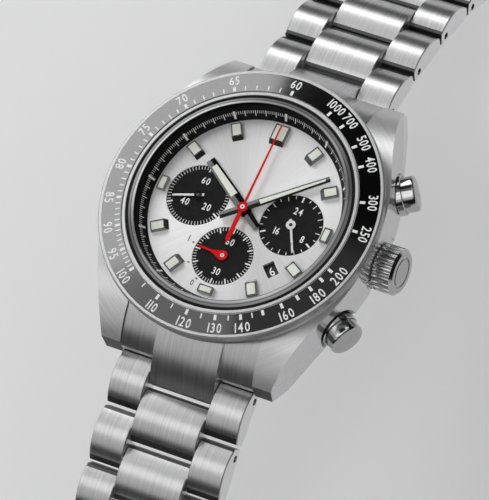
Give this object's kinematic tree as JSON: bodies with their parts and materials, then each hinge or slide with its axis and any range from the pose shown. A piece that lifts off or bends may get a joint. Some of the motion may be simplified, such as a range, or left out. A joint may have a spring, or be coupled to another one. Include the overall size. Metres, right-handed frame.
{
  "type": "chronograph wristwatch",
  "caption": "Steel wristwatch with a dark scale bezel, pale dial with sunk counters, crown and pump pushers, on a three-row link bracelet with a folding clasp.",
  "frame": {"origin": "centre of the flat face of the case back", "axes": "+Z out of the dial, +Y to 12 o'clock, +X to the crown at 3 o'clock"},
  "size_m": [0.0443, 0.1443, 0.0604],
  "materials": {
    "steel": "satin",
    "polished_steel": "polished",
    "insert": "satin",
    "crystal": "polished",
    "gasket": "matte",
    "flange": "matte",
    "dial": "satin",
    "lume": "matte",
    "solar": "gloss",
    "holder": "matte",
    "plate": "satin",
    "board": "matte",
    "copper": "satin",
    "cell": "satin",
    "red": "gloss"
  },
  "bodies": {
    "case": {"case_body": "steel", "case_back": "polished_steel", "case_back_gasket": "gasket", "bezel_ring": "polished_steel", "bezel_insert": "insert", "crystal": "crystal", "crystal_gasket": "gasket", "flange_ring": "flange", "dial": "dial", "hour_markers": "polished_steel", "marker_lume": "lume", "solar_cell": "solar", "movement_holder": "holder", "main_plate": "plate", "circuit_board": "board", "motor_coils": "copper", "power_cell": "cell", "crown_tube": "steel", "pusher_tubes": "steel", "spring_bars": "polished_steel", "end_link_12": "steel", "end_link_6": "steel", "pusher_spring_2": "polished_steel", "pusher_spring_4": "polished_steel"},
    "minute_hand": {"minute_hand": "polished_steel"},
    "hour_hand": {"hour_hand": "polished_steel"},
    "chrono_second_hand": {"chrono_second_hand": "red"},
    "running_second_hand": {"running_second_hand": "polished_steel"},
    "chrono_minute_hand": {"chrono_minute_hand": "red"},
    "day_hand": {"day_hand": "polished_steel"},
    "date_disc": {"date_disc": "flange"},
    "setting_lever": {"setting_lever": "polished_steel"},
    "crown": {"crown": "polished_steel", "crown_stem": "polished_steel", "crown_gasket": "gasket"},
    "pusher_2": {"pusher_2": "polished_steel"},
    "pusher_4": {"pusher_4": "polished_steel"},
    "link_12_1": {"link_12_1": "steel"},
    "link_12_2": {"link_12_2": "steel"},
    "link_12_3": {"link_12_3": "steel"},
    "link_12_4": {"link_12_4": "steel"},
    "link_12_5": {"link_12_5": "steel"},
    "link_12_6": {"link_12_6": "steel"},
    "link_6_1": {"link_6_1": "steel"},
    "link_6_2": {"link_6_2": "steel"},
    "link_6_3": {"link_6_3": "steel"},
    "link_6_4": {"link_6_4": "steel"},
    "link_6_5": {"link_6_5": "steel"},
    "clasp_cover": {"clasp_cover": "steel", "clasp_cover_pin": "polished_steel"},
    "clasp_outer_leaf": {"clasp_outer_leaf": "polished_steel", "clasp_leaf_pin": "polished_steel"},
    "clasp_inner_leaf": {"clasp_inner_leaf": "polished_steel"},
    "clasp_button_left": {"clasp_button_left": "polished_steel"},
    "clasp_button_right": {"clasp_button_right": "polished_steel"}
  },
  "joints": [
    {"name": "minute_turn", "type": "hinge", "parent": "case", "child": "minute_hand", "pos_m": [0, 0, 0.00985], "axis": [0, 0, -1], "continuous": true},
    {"name": "hour_turn", "type": "hinge", "parent": "case", "child": "hour_hand", "pos_m": [0, 0, 0.00985], "axis": [0, 0, -1], "continuous": true},
    {"name": "chrono_second_turn", "type": "hinge", "parent": "case", "child": "chrono_second_hand", "pos_m": [0, 0, 0.00985], "axis": [0, 0, -1], "continuous": true},
    {"name": "running_second_turn", "type": "hinge", "parent": "case", "child": "running_second_hand", "pos_m": [-0.00737, 0, 0.00985], "axis": [0, 0, -1], "continuous": true},
    {"name": "chrono_minute_turn", "type": "hinge", "parent": "case", "child": "chrono_minute_hand", "pos_m": [0, -0.00737, 0.00985], "axis": [0, 0, -1], "continuous": true},
    {"name": "day_turn", "type": "hinge", "parent": "case", "child": "day_hand", "pos_m": [0.00737, 0, 0.00985], "axis": [0, 0, -1], "continuous": true},
    {"name": "date_turn", "type": "hinge", "parent": "case", "child": "date_disc", "pos_m": [0, 0, 0.009], "axis": [0, 0, -1], "continuous": true},
    {"name": "crown_pull", "type": "slide", "parent": "case", "child": "setting_lever", "axis": [1, 0, 0], "range_m": [0, 0.0016]},
    {"name": "crown_turn", "type": "hinge", "parent": "setting_lever", "child": "crown", "pos_m": [0.0204, 0, 0.0052], "axis": [1, 0, 0], "continuous": true},
    {"name": "pusher_2_press", "type": "slide", "parent": "case", "child": "pusher_2", "axis": [-0.866, -0.5, 0], "range_m": [0, 0.0008], "stiffness_N_per_m": 2000, "deforming": ["pusher_spring_2"]},
    {"name": "pusher_4_press", "type": "slide", "parent": "case", "child": "pusher_4", "axis": [-0.866, 0.5, 0], "range_m": [0, 0.0008], "stiffness_N_per_m": 2000, "deforming": ["pusher_spring_4"]},
    {"name": "link_12_1_bend", "type": "hinge", "parent": "case", "child": "link_12_1", "pos_m": [0, 0.0235, 0.00175], "axis": [-1, 0, 0], "range_deg": [-12, 20]},
    {"name": "link_12_2_bend", "type": "hinge", "parent": "link_12_1", "child": "link_12_2", "pos_m": [0, 0.03149, -0.00069], "axis": [-1, 0, 0], "range_deg": [-15, 25]},
    {"name": "link_12_3_bend", "type": "hinge", "parent": "link_12_2", "child": "link_12_3", "pos_m": [0, 0.03917, -0.00395], "axis": [-1, 0, 0], "range_deg": [-15, 25]},
    {"name": "link_12_4_bend", "type": "hinge", "parent": "link_12_3", "child": "link_12_4", "pos_m": [0, 0.04633, -0.00825], "axis": [-1, 0, 0], "range_deg": [-15, 25]},
    {"name": "link_12_5_bend", "type": "hinge", "parent": "link_12_4", "child": "link_12_5", "pos_m": [0, 0.05282, -0.01351], "axis": [-1, 0, 0], "range_deg": [-15, 25]},
    {"name": "link_12_6_bend", "type": "hinge", "parent": "link_12_5", "child": "link_12_6", "pos_m": [0, 0.05851, -0.01962], "axis": [-1, 0, 0], "range_deg": [-15, 25]},
    {"name": "link_6_1_bend", "type": "hinge", "parent": "case", "child": "link_6_1", "pos_m": [0, -0.0235, 0.00175], "axis": [-1, 0, 0], "range_deg": [-20, 12]},
    {"name": "link_6_2_bend", "type": "hinge", "parent": "link_6_1", "child": "link_6_2", "pos_m": [0, -0.03149, -0.00069], "axis": [-1, 0, 0], "range_deg": [-25, 15]},
    {"name": "link_6_3_bend", "type": "hinge", "parent": "link_6_2", "child": "link_6_3", "pos_m": [0, -0.03917, -0.00395], "axis": [-1, 0, 0], "range_deg": [-25, 15]},
    {"name": "link_6_4_bend", "type": "hinge", "parent": "link_6_3", "child": "link_6_4", "pos_m": [0, -0.04633, -0.00825], "axis": [-1, 0, 0], "range_deg": [-25, 15]},
    {"name": "link_6_5_bend", "type": "hinge", "parent": "link_6_4", "child": "link_6_5", "pos_m": [0, -0.05282, -0.01351], "axis": [-1, 0, 0], "range_deg": [-25, 15]},
    {"name": "clasp_cover_bend", "type": "hinge", "parent": "link_6_5", "child": "clasp_cover", "pos_m": [0, -0.05851, -0.01962], "axis": [-1, 0, 0], "range_deg": [-15, 15]},
    {"name": "clasp_outer_fold", "type": "hinge", "parent": "clasp_cover", "child": "clasp_outer_leaf", "pos_m": [0, -0.07695, -0.04577], "axis": [-1, 0, 0], "range_deg": [0, 110]},
    {"name": "clasp_inner_fold", "type": "hinge", "parent": "clasp_outer_leaf", "child": "clasp_inner_leaf", "pos_m": [0, -0.06395, -0.02814], "axis": [1, 0, 0], "range_deg": [0, 160]},
    {"name": "clasp_button_left_press", "type": "slide", "parent": "clasp_cover", "child": "clasp_button_left", "axis": [1, 0, 0], "range_m": [0, 0.0006], "stiffness_N_per_m": 1000},
    {"name": "clasp_button_right_press", "type": "slide", "parent": "clasp_cover", "child": "clasp_button_right", "axis": [-1, 0, 0], "range_m": [0, 0.0006], "stiffness_N_per_m": 1000}
  ],
  "couplings": [
    {"joint": "hour_turn", "follows": "minute_turn", "ratio": 0.083333},
    {"joint": "day_turn", "follows": "minute_turn", "ratio": 0.041667},
    {"joint": "chrono_minute_turn", "follows": "chrono_second_turn", "ratio": 0.016667}
  ]
}
